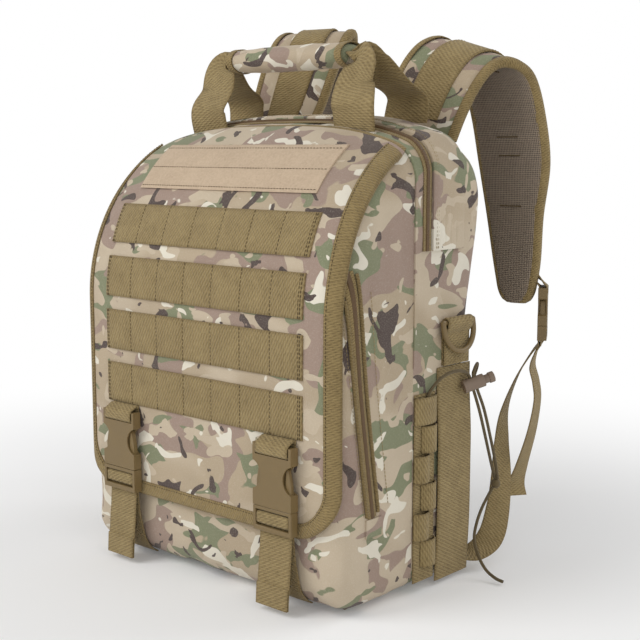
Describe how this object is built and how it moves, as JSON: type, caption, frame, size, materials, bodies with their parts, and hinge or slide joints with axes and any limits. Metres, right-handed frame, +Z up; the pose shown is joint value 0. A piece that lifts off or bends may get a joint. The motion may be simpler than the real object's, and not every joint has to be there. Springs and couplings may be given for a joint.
{
  "type": "hunting backpack",
  "caption": "Camouflage hunting backpack with a buckled front flap faced with webbing rows, padded shoulder straps, carry handle and bungee.",
  "frame": {"origin": "middle of the base's resting face", "axes": "+X to the side that carries the bungee cord, +Y from the flap to the wearer's back, +Z up"},
  "size_m": [0.404, 0.3141, 0.5175],
  "materials": {
    "camo_cloth": "woven pack cloth with blotches of sand, brown, green, cream and charcoal",
    "webbing": "ribbed coyote-tan webbing",
    "binding": "coyote-tan binding tape",
    "buckle_plastic": "moulded tan plastic, satin",
    "mesh_lining": "open brown spacer mesh",
    "zip_tape": "tan tape with brown moulded teeth",
    "zip_metal": "dark painted metal",
    "lock_plastic": "grey-brown moulded plastic",
    "bungee": "braided elastic cord",
    "loop_cloth": "sand-coloured loop pile"
  },
  "bodies": {
    "bag": {"front_compartment": "camo_cloth", "main_compartment": "camo_cloth", "storm_flap": "camo_cloth", "zip_end_tabs": "camo_cloth", "seam_welt": "camo_cloth", "flap_seam": "camo_cloth", "handle_wrap": "camo_cloth", "handle_loop_left": "webbing", "handle_loop_right": "webbing", "side_strip_left": "webbing", "side_strip_right": "webbing", "ring_loop_left": "webbing", "ring_loop_right": "webbing", "ladder_left": "webbing", "ladder_right": "webbing", "flap_strap_left": "webbing", "flap_strap_right": "webbing", "lower_strap_left": "webbing", "lower_strap_right": "webbing", "strap_yoke": "webbing", "base_panel": "webbing", "zip_piping": "binding", "back_pad": "mesh_lining", "main_zip": "zip_tape", "front_zip": "zip_tape", "cord_lock_barrel": "lock_plastic", "bungee_cord_front": "bungee", "bungee_cord_rear": "bungee", "cord_knot": "bungee"},
    "flap": {"flap_panel": "camo_cloth", "flap_binding": "binding", "webbing_row_1": "webbing", "webbing_row_2": "webbing", "webbing_row_3": "webbing", "webbing_row_4": "webbing", "loop_panel": "loop_cloth", "flap_buckle_web_left": "webbing", "flap_buckle_web_right": "webbing", "flap_buckle_female_left": "buckle_plastic", "flap_buckle_female_right": "buckle_plastic"},
    "flap_male_left": {"flap_buckle_male_left": "buckle_plastic"},
    "shoulder_left": {"shoulder_pad_left": "camo_cloth", "shoulder_webbing_left": "webbing", "shoulder_mesh_left": "mesh_lining", "shoulder_buckle_female_left": "buckle_plastic"},
    "shoulder_male_left": {"shoulder_buckle_male_left": "buckle_plastic"},
    "ring_left": {"d_ring_left": "buckle_plastic"},
    "flap_male_right": {"flap_buckle_male_right": "buckle_plastic"},
    "shoulder_right": {"shoulder_pad_right": "camo_cloth", "shoulder_webbing_right": "webbing", "shoulder_mesh_right": "mesh_lining", "shoulder_buckle_female_right": "buckle_plastic"},
    "shoulder_male_right": {"shoulder_buckle_male_right": "buckle_plastic"},
    "ring_right": {"d_ring_right": "buckle_plastic"},
    "main_slider": {"main_zip_slider": "zip_metal"},
    "main_pull": {"main_zip_pull": "zip_metal"},
    "front_slider": {"front_zip_slider": "zip_metal"},
    "front_pull": {"front_zip_pull": "zip_metal"},
    "lock_button": {"cord_lock_button": "lock_plastic"}
  },
  "joints": [
    {"name": "flap_hinge", "type": "hinge", "parent": "bag", "child": "flap", "pos_m": [0, -0.00363, 0.41365], "axis": [-1, 0, 0], "range_deg": [0, 105]},
    {"name": "flap_buckle_left", "type": "slide", "parent": "bag", "child": "flap_male_left", "axis": [0, 0, -1], "range_m": [0, 0.04], "deforming": ["flap_strap_left"]},
    {"name": "shoulder_hinge_left", "type": "hinge", "parent": "bag", "child": "shoulder_left", "pos_m": [-0.092, 0.1, 0.4002], "axis": [0.9945, 0, 0.1045], "range_deg": [-12, 22]},
    {"name": "shoulder_buckle_left", "type": "slide", "parent": "shoulder_left", "child": "shoulder_male_left", "axis": [0, 0, -1], "range_m": [0, 0.028], "deforming": ["lower_strap_left"]},
    {"name": "ring_swing_left", "type": "hinge", "parent": "bag", "child": "ring_left", "pos_m": [-0.1698, 0.062, 0.241], "axis": [0, 1, 0], "range_deg": [0, 150]},
    {"name": "flap_buckle_right", "type": "slide", "parent": "bag", "child": "flap_male_right", "axis": [0, 0, -1], "range_m": [0, 0.04], "deforming": ["flap_strap_right"]},
    {"name": "shoulder_hinge_right", "type": "hinge", "parent": "bag", "child": "shoulder_right", "pos_m": [0.092, 0.1, 0.4002], "axis": [0.9945, 0, -0.1045], "range_deg": [-12, 22]},
    {"name": "shoulder_buckle_right", "type": "slide", "parent": "shoulder_right", "child": "shoulder_male_right", "axis": [0, 0, -1], "range_m": [0, 0.028], "deforming": ["lower_strap_right"]},
    {"name": "ring_swing_right", "type": "hinge", "parent": "bag", "child": "ring_right", "pos_m": [0.1698, 0.062, 0.241], "axis": [0, -1, 0], "range_deg": [0, 150]},
    {"name": "main_zip_run", "type": "slide", "parent": "bag", "child": "main_slider", "axis": [0, 0, 1], "range_m": [-0.008, 0.05]},
    {"name": "main_pull_swing", "type": "hinge", "parent": "main_slider", "child": "main_pull", "pos_m": [-0.1721, 0.02, 0.326], "axis": [0, 1, 0], "range_deg": [0, 120]},
    {"name": "front_zip_run", "type": "slide", "parent": "bag", "child": "front_slider", "axis": [0, -0.1521, 0.9884], "range_m": [-0.03, 0.03]},
    {"name": "front_pull_swing", "type": "hinge", "parent": "front_slider", "child": "front_pull", "pos_m": [-0.1713, -0.06276, 0.15395], "axis": [0, 0.9884, 0.1521], "range_deg": [0, 120]},
    {"name": "lock_press", "type": "slide", "parent": "bag", "child": "lock_button", "axis": [-0.5497, -0.7796, -0.2999], "range_m": [0, 0.004], "stiffness_N_per_m": 300}
  ]
}
